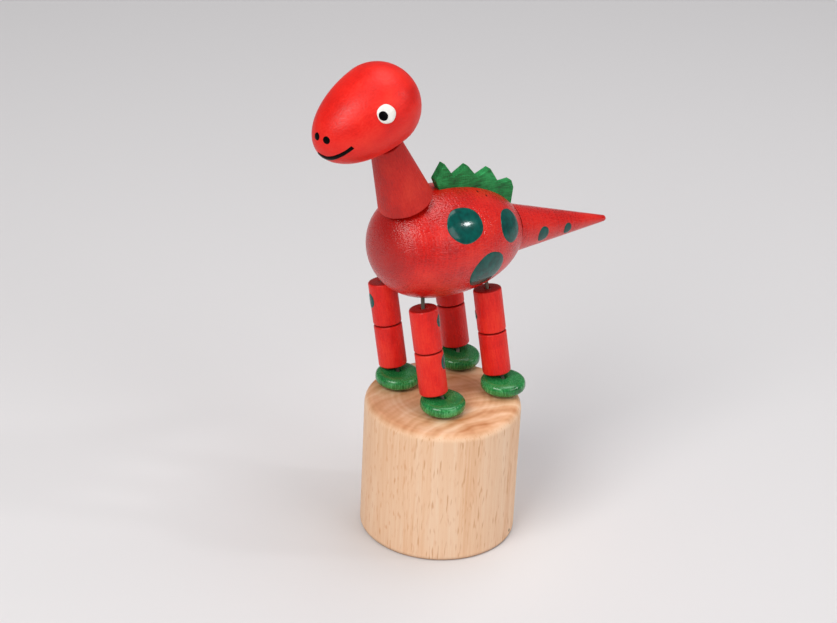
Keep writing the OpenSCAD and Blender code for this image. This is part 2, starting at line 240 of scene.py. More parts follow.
@dataclass(frozen=True)
class Varnish(Finish):
    """Thin coloured spirit varnish over turned beech.

    The colour is deeper where the end grain drinks it; on the leg beads this deeper colour also paints the
    shade at their ends, where they meet and under the body.
    Fine rings from the lathe and short pores along the grain break the gloss.
    """

    name: str
    dark: str
    middle: str
    light: str
    roughness: float
    coat: float
    bump: float
    # Share of the dark pores in the colour, and of the lathe rings in colour and relief
    streaks: float
    turning: float
    # Colour of the end grain, and how much of it shows where the surface is square to the grain; on the leg
    # beads it also paints the shade at their ends
    end: str
    end_share: float
    # Clouds of thicker and thinner varnish
    blotch_mm: float = 6.0
    # Lathe rings are about 0.15 mm apart on the real wood: drawn at 0.5 mm, so that they show
    ring_mm: float = 0.5
    # Pores are under 0.1 mm wide on the real wood: drawn at 0.3 mm, so that they show
    pore_mm: float = 0.3
    # Raised grain under the thin varnish, which breaks the gloss into glints
    pit_mm: float = 0.3
    relief_mm: float = 0.3
    # Spirit varnish soaked into wood reflects less than a film of gloss paint
    ior: float = 1.4

    def sockets(self, tree: NodeTree) -> dict[str, object]:
        """Lays the varnish over the grain.

        Args:
            tree: the material's node tree.

        Returns:
            The shader's inputs.
        """
        place = add_node(tree, "Attribute", out="Vector", attribute_name=GRAIN)
        ends = add_node(tree, "Attribute", out="Fac", attribute_name=END_GRAIN)
        blotch = grain(tree, place, self.blotch_mm, self.blotch_mm * 1.6, detail=4.0)
        pores = grain(tree, place, self.pore_mm, self.pore_mm * 9, detail=1.0, shift=3.1)
        rings = grain(tree, place, 14.0, self.ring_mm, detail=1.0, shift=7.7)
        pits = grain(tree, place, self.pit_mm, self.pit_mm * 1.8, detail=1.0, shift=5.3)
        tone = weighed(tree, (blotch, 1.0), (pores, self.streaks), (rings, self.turning), (pits, 0.3))
        stops = [(0.22, self.dark), (0.5, self.middle), (0.8, self.light)]
        film = add_node(tree, "ValToRGB", {"Fac": tone}, stops=stops)
        # End grain drinks the colour; on the leg beads this darkening also paints the shade at their ends
        end_soak_and_shade = add_node(tree, "MapRange", {"Value": ends, "From Min": 0.6, "To Max": self.end_share})
        mixed = {"Factor": end_soak_and_shade, "A": film, "B": linear(self.end)}
        gloss = {
            "Value": weighed(tree, (blotch, 0.6), (pits, 0.8)),
            "From Min": 0.25,
            "From Max": 0.75,
            "To Min": self.roughness * 0.75,
            "To Max": self.roughness * 1.35,
        }
        height = weighed(tree, (rings, self.turning), (pores, 0.3), (pits, 1.0))
        raised = {"Strength": self.bump, "Distance": self.relief_mm * MM, "Height": height}
        relief = add_node(tree, "Bump", raised)
        return {
            "Base Color": add_node(tree, "Mix", mixed, "Result", data_type="RGBA"),
            "Roughness": add_node(tree, "MapRange", gloss),
            "IOR": self.ior,
            "Normal": relief,
            "Coat Weight": self.coat,
            "Coat Roughness": self.roughness * 0.45,
            "Coat Normal": relief,
        }


@dataclass(frozen=True)
class BareBeech(Finish):
    """Turned and sanded beech with no finish: pale pink-brown, with short darker ray flecks.

    The grain runs along the drum, and the pith lies outside it on the +X side, so the top shows the
    year rings as gently curved bands. The rays end on the surfaces that face the pith, as short
    dashes, and lie along the others as broad soft flecks.
    """

    name: str = "sanded beech"
    # The drum's side, where the fibres lie along it
    pale: str = "F9DABD"
    middle: str = "F3CAA6"
    deep: str = "E7B388"
    # The rays, seen end on and broadside
    dash: str = "CF8F5C"
    fleck: str = "D9935E"
    # The top, where the fibres end
    end: str = "C48251"
    top: str = "E3AE84"
    # The bottom edge, darkened as painted shade where it meets the floor: how high up, and how strongly
    painted_shade: str = "8A5A38"
    painted_shade_mm: float = 1.1
    painted_shade_share: float = 0.55
    pith: tuple[float, float] = (41.0, -3.0)
    ring_mm: float = 2.2
    ring_wander_mm: float = 3.5
    # Marks of the turning tool are about 0.2 mm apart: drawn at 0.8 mm, so that they show
    lathe_mm: float = 0.8
    # Distance from the drum's middle plane between which rays turn from broadside to end on
    rays_turn_mm: tuple[float, float] = (6.0, 12.0)
    relief_mm: float = 0.05
    roughness: float = 0.6
    ior: float = 1.4

    def sockets(self, tree: NodeTree) -> dict[str, object]:
        """Draws the wood's side and top, and painted shade on its bottom edge.

        Args:
            tree: the material's node tree.

        Returns:
            The shader's inputs.
        """
        place = add_node(tree, "TexCoord", out="Object")
        split = add_node(tree, "SeparateXYZ", {"Vector": place}).node
        ends = add_node(tree, "Attribute", out="Fac", attribute_name=END_GRAIN)
        on_end = add_node(tree, "MapRange", {"Value": ends, "From Min": 0.55, "From Max": 0.97})
        year = self.rings(tree, place, self.pith, self.ring_mm, self.ring_wander_mm, 1.0)
        lathe = self.rings(tree, place, (0.0, 0.0), self.lathe_mm, 0.0, 0.0)
        cloud = grain(tree, place, 6.0, 60.0, detail=3.0, shift=2.0)
        fibre = grain(tree, place, 0.4, 12.0, detail=1.0, shift=5.0)
        side_tone = weighed(tree, (cloud, 0.5), (fibre, 0.35), (year, 0.22))
        side_stops = [(0.25, self.deep), (0.5, self.middle), (0.75, self.pale)]
        top_tone = weighed(tree, (year, 0.65), (lathe, 0.16), (cloud, 0.9))
        top_stops = [(0.15, self.end), (0.5, self.top), (0.8, self.middle)]
        ground = {
            "Factor": on_end,
            "A": add_node(tree, "ValToRGB", {"Fac": side_tone}, stops=side_stops),
            "B": add_node(tree, "ValToRGB", {"Fac": top_tone}, stops=top_stops),
        }
        wood = add_node(tree, "Mix", ground, "Result", data_type="RGBA")
        flecked = self.rays(tree, place, split.outputs["X"], on_end, wood)
        # Painted shade: the colour darkens towards the bottom edge, where the drum meets the floor
        fade = {"From Max": self.painted_shade_mm * MM, "To Min": self.painted_shade_share, "To Max": 0.0}
        shade_mask = add_node(tree, "MapRange", {"Value": split.outputs["Z"], **fade})
        edge = {"Factor": shade_mask, "A": flecked, "B": linear(self.painted_shade)}
        felt = {"Value": ends, "From Min": 0.3, "From Max": 0.9, "To Min": 0.2, "To Max": 0.0}
        raised = {
            "Strength": add_node(tree, "MapRange", felt),
            "Distance": self.relief_mm * MM,
            "Height": weighed(tree, (fibre, 0.8)),
        }
        return {
            "Base Color": add_node(tree, "Mix", edge, "Result", data_type="RGBA"),
            "Roughness": self.roughness,
            "IOR": self.ior,
            "Normal": add_node(tree, "Bump", raised),
        }

    def rings(
        self,
        tree: NodeTree,
        place: NodeSocket,
        centre: tuple[float, float],
        pitch_mm: float,
        wander_mm: float,
        detail: float,
    ) -> NodeSocket:
        """Draws uneven rings round an upright axis.

        Args:
            tree: the material's node tree.
            place: the vector socket, in metres.
            centre: the axis, in mm.
            pitch_mm: distance between rings.
            wander_mm: how far a ring strays from its circle.
            detail: octaves of finer rings.

        Returns:
            The pattern's value socket.
        """
        shift = (-centre[0] * MM, -centre[1] * MM, 0.0)
        flat = add_node(tree, "Mapping", {"Vector": place, "Location": shift, "Scale": (1.0, 1.0, 0.0)})
        radius = add_node(tree, "VectorMath", {0: flat}, "Value", operation="LENGTH")
        strays = {0: grain(tree, place, 8.0, 60.0), 1: wander_mm * MM, 2: radius}
        wavy = add_node(tree, "Math", strays, operation="MULTIPLY_ADD")
        drawn = {"W": wavy, "Scale": 1 / (pitch_mm * MM), "Detail": detail}
        return add_node(tree, "TexNoise", drawn, noise_dimensions="1D")

    def rays(
        self, tree: NodeTree, place: NodeSocket, aside: NodeSocket, on_end: NodeSocket, wood: NodeSocket
    ) -> NodeSocket:
        """Draws the rays on the drum's side: dashes where they end, flecks where they lie along it.

        Args:
            tree: the material's node tree.
            place: the vector socket, in metres.
            aside: distance from the drum's middle plane, in metres.
            on_end: 1 on end grain and 0 on the side.
            wood: the wood's colour without rays.

        Returns:
            The colour socket.
        """
        near, far = self.rays_turn_mm
        size = add_node(tree, "Math", {0: aside}, operation="ABSOLUTE")
        turn = {"Value": size, "From Min": near * MM, "From Max": far * MM}
        to_pith = add_node(tree, "MapRange", turn)
        along = add_node(tree, "Math", {0: 1.0, 1: to_pith}, operation="SUBTRACT")
        off_end = add_node(tree, "Math", {0: 1.0, 1: on_end}, operation="SUBTRACT")

        patch = grain(tree, place, 6.0, 50.0, detail=1.0, shift=4.0)
        short = grain(tree, place, 0.42, 3.4, detail=0.0, shift=9.0)
        patchy = add_node(tree, "Math", {0: patch, 1: 0.2, 2: short}, operation="MULTIPLY_ADD")
        marks = {"Value": patchy, "From Min": 0.76, "From Max": 0.9, "To Max": 0.6}
        dash = add_node(tree, "MapRange", marks)
        dash = add_node(tree, "Math", {0: dash, 1: to_pith}, operation="MULTIPLY")
        dash = add_node(tree, "Math", {0: dash, 1: off_end}, operation="MULTIPLY")

        soft = grain(tree, place, 0.6, 2.4, detail=0.0, shift=11.0)
        marks = {"Value": soft, "From Min": 0.64, "From Max": 0.88, "To Max": 0.9}
        broad = add_node(tree, "MapRange", marks)
        share = add_node(tree, "Math", {0: along, 1: 0.5, 2: 0.3}, operation="MULTIPLY_ADD")
        share = add_node(tree, "Math", {0: share, 1: off_end}, operation="MULTIPLY")
        fleck = add_node(tree, "Math", {0: broad, 1: share}, operation="MULTIPLY")

        under = {"Factor": fleck, "A": wood, "B": linear(self.fleck)}
        flecked = add_node(tree, "Mix", under, "Result", data_type="RGBA")
        over = {"Factor": dash, "A": flecked, "B": linear(self.dash)}
        return add_node(tree, "Mix", over, "Result", data_type="RGBA")


@dataclass(frozen=True)
class Enamel(Finish):
    """A drop of thick gloss enamel, put on with a brush and left to level."""

    name: str
    colour: str
    shade: str
    roughness: float
    coat: float
    ior: float = 1.35
    # Width of the soft waves that the brush leaves, and their height
    pull_mm: float = 1.6
    relief_mm: float = 0.05

    def sockets(self, tree: NodeTree) -> dict[str, object]:
        """Draws the brush's soft waves in colour and relief.

        Args:
            tree: the material's node tree.

        Returns:
            The shader's inputs.
        """
        place = add_node(tree, "TexCoord", out="Object")
        pull = grain(tree, place, self.pull_mm, self.pull_mm)
        raised = {"Strength": 0.25, "Distance": self.relief_mm * MM, "Height": pull}
        stops = [(0.3, self.shade), (0.65, self.colour)]
        return {
            "Base Color": add_node(tree, "ValToRGB", {"Fac": pull}, stops=stops),
            "Roughness": self.roughness,
            "IOR": self.ior,
            "Normal": add_node(tree, "Bump", raised),
            "Coat Weight": self.coat,
            "Coat Roughness": 0.05,
        }


@dataclass(frozen=True)
class SpringWire(Finish):
    """Drawn spring steel: grey, with faint marks from the die."""

    name: str = "drawn spring steel"
    dark: str = "8C8E91"
    light: str = "B4B6B9"
    roughness: float = 0.34
    # Marks from the die are finer than the eye sees: drawn at 0.3 mm, so that they show
    mark_mm: float = 0.3

    def sockets(self, tree: NodeTree) -> dict[str, object]:
        """Draws the marks in the colour.

        Args:
            tree: the material's node tree.

        Returns:
            The shader's inputs.
        """
        marks = grain(tree, add_node(tree, "TexCoord", out="Object"), self.mark_mm, self.mark_mm)
        colour = add_node(tree, "ValToRGB", {"Fac": marks}, stops=[(0.3, self.dark), (0.7, self.light)])
        return {"Base Color": colour, "Metallic": 1.0, "Roughness": self.roughness}


@dataclass(frozen=True)
class BraidedCord(Finish):
    """Undyed braided cord, coloured darker than the real grey cord as painted shade where it shows between
    the beads, with soft changes of shade along the plait.
    """

    name: str = "undyed braided cord"
    # Both colours are darker than the cord itself: painted shade for where it shows in the gaps between the
    # beads
    dark: str = "4E483E"
    light: str = "7A7264"
    roughness: float = 0.85
    # Ribs of the plait, 0.6 mm apart, are too fine to show: the shade changes every 7.5 mm instead
    shade_mm: float = 7.54
    relief_mm: float = 0.1

    def sockets(self, tree: NodeTree) -> dict[str, object]:
        """Draws the plait in colour and relief.

        Args:
            tree: the material's node tree.

        Returns:
            The shader's inputs.
        """
        place = add_node(tree, "Attribute", out="Vector", attribute_name=GRAIN)
        # At scale 1 a diagonal wave turns by 10 radians in a metre
        scale = math.tau / (10 * self.shade_mm * MM)
        waves = {"Vector": place, "Scale": scale, "Distortion": 1.0, "Detail": 1.0}
        plait = add_node(tree, "TexWave", waves, "Fac", bands_direction="DIAGONAL")
        raised = {"Strength": 0.6, "Distance": self.relief_mm * MM, "Height": plait}
        stops = [(0.2, self.dark), (0.8, self.light)]
        return {
            "Base Color": add_node(tree, "ValToRGB", {"Fac": plait}, stops=stops),
            "Roughness": self.roughness,
            "Normal": add_node(tree, "Bump", raised),
        }


@dataclass(frozen=True)
class Paper(Finish):
    """Pale matt paper, which the toy stands on."""

    name: str = "pale matt paper"
    colour: str = "DDDBDC"
    roughness: float = 0.9

    def sockets(self, tree: NodeTree) -> dict[str, object]:
        """The paper has one even colour."""
        return {"Base Color": linear(self.colour), "Roughness": self.roughness}


class Looks:
    """Every finish of the toy, mixed once."""

    def __init__(self) -> None:
        """Mixes them."""
        self.beech = BareBeech().make()
        # The head was varnished thick enough to hide most of the wood
        self.red_head = Varnish(
            "red varnish, satin", "CE120A", "EA1C10", "F43624", roughness=0.42, coat=0.0, bump=0.2,
            streaks=0.15, turning=0.1, end="D0201A", end_share=0.3,
        ).make()
        # Body and tail keep the lines of the lathe, which break their gloss
        self.red_body = Varnish(
            "red varnish over turned lines", "B80B07", "D6140B", "E82B1A", roughness=0.29, coat=0.3,
            bump=0.48, streaks=0.5, turning=0.45, end="9A0D08", end_share=0.75,
        ).make()
        self.red_neck = Varnish(
            "red varnish, dull", "A81510", "C61E15", "D63424", roughness=0.5, coat=0.0, bump=0.45,
            streaks=0.35, turning=0.1, end="8C0E0B", end_share=0.5,
        ).make()
        # The sawn ends of the dowel drink the most colour, and this darkest end colour also paints the
        # shade where the beads meet and under the body
        self.red_leg = Varnish(
            "red varnish on dowel", "CA110B", "E41C12", "F23820", roughness=0.4, coat=0.0, bump=0.45,
            streaks=0.4, turning=0.05, end="850F0B", end_share=0.85,
        ).make()
        self.green_foot = Varnish(
            "green varnish, glossy", "0F5427", "1F853D", "55B46C", roughness=0.24, coat=0.45, bump=0.12,
            streaks=0.9, turning=0.0, end="24793F", end_share=0.6, blotch_mm=4.0,
        ).make()
        self.green_crest = Varnish(
            "green stain on sawn wood", "0C5827", "1D8843", "33A95D", roughness=0.6, coat=0.0, bump=0.5,
            streaks=0.75, turning=0.15, end="1C7438", end_share=0.0, blotch_mm=2.5,
        ).make()
        self.spot = Enamel("deep green enamel", "00584F", "003E39", roughness=0.14, coat=0.12).make()
        self.white = Enamel("white enamel", "F4F2EC", "E9E5DC", roughness=0.2, coat=0.2).make()
        self.black = Enamel("black enamel", "050404", "020202", roughness=0.3, coat=0.0, ior=1.15).make()
        self.steel = SpringWire().make()
        self.cord = BraidedCord().make()


@dataclass(frozen=True)
class Seat:
    """Where a piece's own frame stands: its origin in mm, and its leans in degrees."""

    at: tuple[float, float, float] = (0.0, 0.0, 0.0)
    turn: float = 0.0
    to_right: float = 0.0

    def matrix(self) -> Matrix:
        """Works out the frame as a matrix.

        Returns:
            The matrix, in mm.
        """
        forward = Matrix.Rotation(math.radians(self.turn), 4, "X")
        sideways = Matrix.Rotation(math.radians(-self.to_right), 4, "Y")
        return Matrix.Translation(self.at) @ sideways @ forward

    def point(self, x: float, y: float, z: float) -> Vector:
        """A point of the piece's own frame, in the toy's frame."""
        return self.matrix() @ Vector((x, y, z))


@dataclass(frozen=True)
class Corner:
    """A corner of a turned profile: its radius, its height and how far it is rounded, in mm."""

    r: float
    z: float
    rounding: float = 0.0


def put_in_scene(name: str, data: bpy.types.ID) -> Object:
    """Makes an object of a mesh, curve, lamp or camera, and links it to the scene.

    Args:
        name: the object's name.
        data: what it shows.

    Returns:
        The object.
    """
    obj = bpy.data.objects.new(name, data)
    bpy.context.scene.collection.objects.link(obj)
    return obj


def mesh_data(name: str, mesh: BMesh) -> bpy.types.Mesh:
    """Makes mesh data of a shape, which is used up.

    Args:
        name: the data's name.
        mesh: the shape.

    Returns:
        The mesh data.
    """
    data = bpy.data.meshes.new(name)
    mesh.to_mesh(data)
    mesh.free()
    return data


def as_drawn(obj: Object) -> BMesh:
    """Reads the shape of an object with its modifiers, or of a curve with its thickness.

    Args:
        obj: the object.

    Returns:
        The shape as a new mesh.
    """
    shown = bpy.context.evaluated_depsgraph_get()
    data = bpy.data.meshes.new_from_object(obj.evaluated_get(shown))
    mesh = bmesh.new()
    mesh.from_mesh(data)
    bpy.data.meshes.remove(data)
    return mesh


class Piece:
    """One finished object of the scene, and the skin that paint is laid on."""

    def __init__(
        self, name: str, mesh: BMesh, look: Material, slot: Slot, seat: Seat = Seat(), flats: bool = False
    ) -> None:
        """Finishes a mesh as an object at the origin.

        Args:
            name: the object's name.
            mesh: the shape in mm, in the piece's own frame. It is used up.
            look: the material.
            slot: not used.
            seat: where the piece's own frame stands.
            flats: whether the piece has flat faces whose shading has to stay flat.
        """
        place = mesh.verts.layers.float_vector.new(GRAIN)
        apart = (sum(map(ord, name)) % GRAIN_SHIFTS) * MM
        for vert in mesh.verts:
            vert[place] = vert.co * MM + Vector((apart, apart, apart))
        mesh.normal_update()
        ends = mesh.verts.layers.float.new(END_GRAIN)
        for vert in mesh.verts:
            vert[ends] = max(abs(face.normal.z) for face in vert.link_faces)
        bmesh.ops.transform(mesh, matrix=seat.matrix(), verts=mesh.verts)
        bmesh.ops.recalc_face_normals(mesh, faces=mesh.faces)
        self.skin = BVHTree.FromBMesh(mesh)
        bmesh.ops.scale(mesh, vec=(MM, MM, MM), verts=mesh.verts)
        for face in mesh.faces:
            face.smooth = True
        data = mesh_data(name, mesh)
        data.materials.append(look)
        self.obj = put_in_scene(name, data)
        self.body = ""
        if flats:
            self.obj.modifiers.new("even_shading", "WEIGHTED_NORMAL").keep_sharp = True

    def rides(self, body: str, *nodes: str) -> "Piece":
        """Makes the piece move with a body, and stand for CAD nodes.

        Args:
            body: the body's name.
            nodes: the CAD nodes that it replaces.

        Returns:
            The piece itself.
        """
        self.body = body
        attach(self.obj, body)
        if nodes:
            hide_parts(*nodes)
        return self

    def dab(
        self,
        name: str,
        look: Material,
        slot: Slot,
        centre: Vector,
        size: tuple[float, float],
        height: float,
        tilt: float = 0.0,
        phase: float = 0.0,
    ) -> "Piece":
        """Puts a drop of paint on the piece.

        Args:
            name: the drop's name.
            look: the paint.
            slot: the record's material slot.
            centre: a point near the middle of the drop.
            size: the drop's two widths.
            height: how proud the drop stands.
            tilt: turns the drop in its own plane, in degrees.
            phase: changes the waver of its rim.

        Returns:
            The drop, which moves with the piece.
        """
        drop = drop_of_paint(self.skin, centre, size, height, tilt, phase)
        return Piece(name, drop, look, slot).rides(self.body)


def turned(corners: Sequence[Corner], steps: int = SPIN_STEPS) -> BMesh:
    """Turns a profile on the lathe, about the Z axis.

    Args:
        corners: the profile. It closes on itself, unless both its ends are on the axis.
        steps: faces round the piece.

    Returns:
        The closed mesh, in mm.
    """
    mesh = bmesh.new()
    verts = [mesh.verts.new((c.r, 0.0, c.z)) for c in corners]
    for one, other in zip(verts, verts[1:]):
        mesh.edges.new((one, other))
    if corners[0].r > 0 or corners[-1].r > 0:
        mesh.edges.new((verts[-1], verts[0]))
    for vert, corner in zip(verts, corners):
        if corner.rounding > 0:
            bmesh.ops.bevel(
                mesh, geom=[vert], offset=corner.rounding, offset_type="OFFSET", segments=ROUND_STEPS,
                profile=0.5, affect="VERTICES", material=-1,
            )
    bmesh.ops.spin(
        mesh, geom=mesh.verts[:] + mesh.edges[:], cent=(0, 0, 0), axis=(0, 0, 1), dvec=(0, 0, 0),
        angle=math.tau, steps=steps, use_merge=True,
    )
    bmesh.ops.remove_doubles(mesh, verts=mesh.verts, dist=WELD_MM)
    return mesh


def drilled(mesh: BMesh, drills: Sequence[BMesh]) -> BMesh:
    """Drills a piece, and leaves the holes' edges sharp.

    Args:
        mesh: the closed piece. It is used up.
        drills: closed meshes of what is cut away. They are used up.

    Returns:
        The drilled piece, closed.
    """
    solids = []
    for form in (mesh, *drills):
        bmesh.ops.recalc_face_normals(form, faces=form.faces)
        solids.append(put_in_scene("drilling", mesh_data("drilling", form)))
    for drill in solids[1:]:
        cut = solids[0].modifiers.new("drill", "BOOLEAN")
        cut.operation, cut.solver, cut.object = "DIFFERENCE", "EXACT", drill
    cut_piece = as_drawn(solids[0])
    for edge in cut_piece.edges:
        edge.smooth = edge.calc_face_angle(0.0) < math.radians(SHARP_DEG)
    for solid in solids:
        bpy.data.meshes.remove(solid.data)
    return cut_piece


@dataclass(frozen=True)
class Egg:
    """A turned egg along +Z: its length before and behind its widest place, radius and bluntness."""

    front: float
    rear: float
    radius: float
    bluntness: float

    def radius_behind(self, s: float) -> float:
        """The egg's radius at a distance behind its widest place."""
        return self.radius * math.sqrt(1 - (s / self.rear) ** 2)

    def mesh(self) -> BMesh:
        """Turns the whole egg: an ellipse behind, and a blunter curve in front.

        Returns:
            The closed mesh.
        """
        power = 2 / self.bluntness
        angles = [math.pi / 2 * i / EGG_STEPS for i in range(EGG_STEPS + 1)]
        corners = [Corner(self.radius * math.cos(t), -self.rear * math.sin(t)) for t in angles[:0:-1]]
        for t in angles:
            corners.append(Corner(self.radius * math.cos(t) ** power, self.front * math.sin(t) ** power))
        corners[0] = Corner(0.0, -self.rear)
        corners[-1] = Corner(0.0, self.front)
        return turned(corners)

    def touching(self, at: Vector, turn: float, facing: float) -> Seat:
        """Finds where the egg stands when its surface touches a point.

        Args:
            at: the point, in the toy's frame.
            turn: the egg's turn about X, in degrees.
            facing: how the surface faces there, in degrees from the egg's +Y towards its front.

        Returns:
            The egg's own frame.
        """
        up, forward = math.cos(math.radians(facing)), math.sin(math.radians(facing))
        less = 1 / (self.bluntness - 1)
        a, b = self.front * forward, self.radius * abs(up)
        whole = (a ** (self.bluntness * less) + b ** (self.bluntness * less)) ** (1 / self.bluntness)
        y = math.copysign(self.radius * b**less / whole, up)
        middle = at - Seat(turn=turn).point(0.0, y, self.front * a**less / whole)
        return Seat(tuple(middle), turn)


# Outline of a drop of paint: shares of its radius, each with the share of its height there
DROP_OUTLINE = ((0.0, 1.0), (0.35, 1.0), (0.62, 0.97), (0.8, 0.88), (0.91, 0.68), (0.97, 0.4), (1.0, 0.05))
DROP_UNDERSIDE = (1.0, 0.6, 0.3, 0.0)
DROP_STEPS = 48
# How deep a drop reaches into the wood, so that its underside never shows
DROP_SINK_MM = 0.12
# Waver of a drop's rim: depth, and number of waves round it
DROP_WAVER = ((0.02, 2), (0.014, 5))


def drop_of_paint(
    target: BVHTree, centre: Vector, size: tuple[float, float], height: float, tilt: float, phase: float
) -> BMesh:
    """Lays a drop of paint on a surface.

    Args:
        target: the surface's skin, in mm.
        centre: a point near the middle of the drop.
        size: the drop's two widths.
        height: how proud the drop stands.
        tilt: turns the drop in its own plane, in degrees.
        phase: changes the waver of its rim.

    Returns:
        The closed mesh, in mm, in the toy's frame.
    """
    top = [Corner(r, height * share) for r, share in DROP_OUTLINE]
    mesh = turned([*top, *(Corner(r, -DROP_SINK_MM) for r in DROP_UNDERSIDE)], DROP_STEPS)
    middle, normal, _, _ = target.find_nearest(centre)
    along = normal.cross(Vector((1.0, 0.0, 0.0)))
    # A surface that faces sideways takes its direction from Y instead
    if along.length < 0.2:
        along = normal.cross(Vector((0.0, 1.0, 0.0)))
    along.normalize()
    along.rotate(Matrix.Rotation(math.radians(tilt), 3, normal))
    across = along.cross(normal)
    for vert in mesh.verts:
        angle = math.atan2(vert.co.y, vert.co.x)
        waver = 1.0
        for turn, (depth, waves) in enumerate(DROP_WAVER, 1):
            waver += depth * math.sin(waves * angle + turn * phase)
        aside = across * (vert.co.x * waver * size[0] / 2)
        flat = middle + aside + along * (vert.co.y * waver * size[1] / 2)
        point, out, _, _ = target.find_nearest(flat)
        vert.co = point + out * vert.co.z
    return mesh


def tube(points: Sequence[Vector], radii: Sequence[float]) -> BMesh:
    """Draws a smooth round tube through points.

    Args:
        points: the middle line, in mm.
        radii: the radius at each point, in mm.

    Returns:
        The closed mesh, in mm.
    """
    curve = bpy.data.curves.new("line", "CURVE")
    curve.dimensions = "3D"
    curve.bevel_depth = 1.0
    curve.bevel_resolution = TUBE_ROUND
    curve.use_fill_caps = True
    spline = curve.splines.new("POLY")
    spline.points.add(len(points) - 1)
    for place, point, radius in zip(spline.points, points, radii):
        place.co = (*point, 1.0)
        place.radius = radius
    mesh = as_drawn(put_in_scene("line", curve))
    bmesh.ops.remove_doubles(mesh, verts=mesh.verts, dist=WELD_MM)
    bpy.data.curves.remove(curve)
    return mesh


def smooth_line(points: Sequence[Vector], spacing: float) -> list[Vector]:
    """Fills in a smooth line through a few points.

    Args:
        points: the points that the line goes through.
        spacing: distance between the points that come out.

    Returns:
        Points along a Catmull-Rom curve.
    """
    held = [points[0], *points, points[-1]]
    line = [points[0].copy()]
    for a, b, c, d in zip(held, held[1:], held[2:], held[3:]):
        count = max(1, round((c - b).length / spacing))
        for i in range(1, count + 1):
            t = i / count
            square, cube = 2 * a - 5 * b + 4 * c - d, 3 * b - a - 3 * c + d
            line.append(0.5 * (2 * b + (c - a) * t + square * t**2 + cube * t**3))
    return line


def stroke_of_paint(
    target: BVHTree, points: Sequence[Vector], widths: Sequence[float], flatness: float
) -> BMesh:
    """Draws a brush stroke on a surface.

    Args:
        target: the surface's skin, in mm.
        points: points near the stroke's middle line.
        widths: the stroke's width at each point.
        flatness: the stroke's height, as a share of its width.

    Returns:
        The closed mesh, in mm, in the toy's frame.
    """
    laid = [target.find_nearest(p)[0] for p in points]
    line = [target.find_nearest(p)[0] for p in smooth_line(laid, 0.4)]
    radii = []
    for i in range(len(line)):
        share = (len(widths) - 1) * i / (len(line) - 1)
        low = min(int(share), len(widths) - 2)
        radii.append((widths[low] * (1 - share + low) + widths[low + 1] * (share - low)) / 2)
    mesh = tube(line, radii)
    for vert in mesh.verts:
        point, out, _, _ = target.find_nearest(vert.co)
        vert.co = point + out * ((vert.co - point).dot(out) * flatness)
    return mesh


def leg_name(side: Side, end: End) -> str:
    """A leg's name, such as front_left."""
    return f"{end.name.lower()}_{side.name.lower()}"


@dataclass(frozen=True)
class Layout:
    """Where the figure stands, with the part's own sizes in mm and degrees."""

    base_h: float = 35.0
    figure_x: float = -4.8
    figure_y: float = 3.9
    leg_track: float = 16.5
    leg_base: float = 19.2
    foot_aside: float = 2.0
    foot_base: float = 18.4
    foot_behind: float = 0.3
    foot_skew: float = 1.2
    foot_gap: float = 0.1
    foot_t: float = 3.6
    bead_gap: float = 0.15
    leg_r: float = 3.45
    leg_len: float = 10.8
    leg_lean: float = 3.0
    leg_side_lean: float = 11.5
    seat_gap: float = 0.3
    neck_tilt: float = 22.0
    neck_len: float = 17.25
    # How far the neck's joint is in front of the middle of its lower end
    neck_pivot_ahead: float = 2.0

    def leg_way(self) -> Vector:
        """The way that the legs point, upwards."""
        return Seat(turn=self.leg_lean, to_right=self.leg_side_lean).point(*UP)

    def leg_bottom(self, side: Side, end: End) -> Vector:
        """Finds the middle of a leg's lower end.

        Args:
            side: the leg's side.
            end: the leg's end.

        Returns:
            The point.
        """
        rim_drop = self.leg_r * math.sqrt(1 - self.leg_way().z ** 2)
        return Vector((
            self.figure_x + side.value * self.leg_track / 2,
            self.figure_y + end.value * self.leg_base / 2,
            self.base_h + self.foot_gap + self.foot_t + self.bead_gap + rim_drop,
        ))

    def foot_at(self, side: Side, end: End) -> Vector:
        """Finds the middle of a foot's underside.

        Args:
            side: the leg's side.
            end: the leg's end.

        Returns:
            The point.
        """
        middle = self.figure_y + self.foot_behind
        return Vector((
            self.leg_bottom(side, end).x + self.foot_aside,
            middle + end.value * self.foot_base / 2 + side.value * self.foot_skew / 2,
            self.base_h + self.foot_gap,
        ))

    def hole_below(self, side: Side, end: End, reach: float) -> Vector:
        """Finds where a string comes down under its foot.

        Args:
            side: the leg's side.
            end: the leg's end.
            reach: how far from the base's axis the hole may be.

        Returns:
            The point of the ground under the foot, or as near to it as the reach lets it be.
        """
        foot = self.foot_at(side, end)
        flat = Vector((foot.x, foot.y, 0.0))
        return flat * min(1.0, reach / flat.length)

    def neck_way(self) -> Vector:
        """The way that the neck points, upwards."""
        return Seat(turn=self.neck_tilt).point(*UP)

    def up_neck(self, along: float) -> Vector:
        """Finds a point of the neck's axis from the place of its joint in the frame.

        Args:
            along: distance up the axis from the neck's lower end.

        Returns:
            The point.
        """
        joint = next(j for j in frame["joints"] if j["name"] == "neck_nod")
        seat = Seat(tuple(Vector(joint["pos_m"]) / MM), self.neck_tilt)
        return seat.point(0.0, self.neck_pivot_ahead, along)


LAYOUT = Layout()


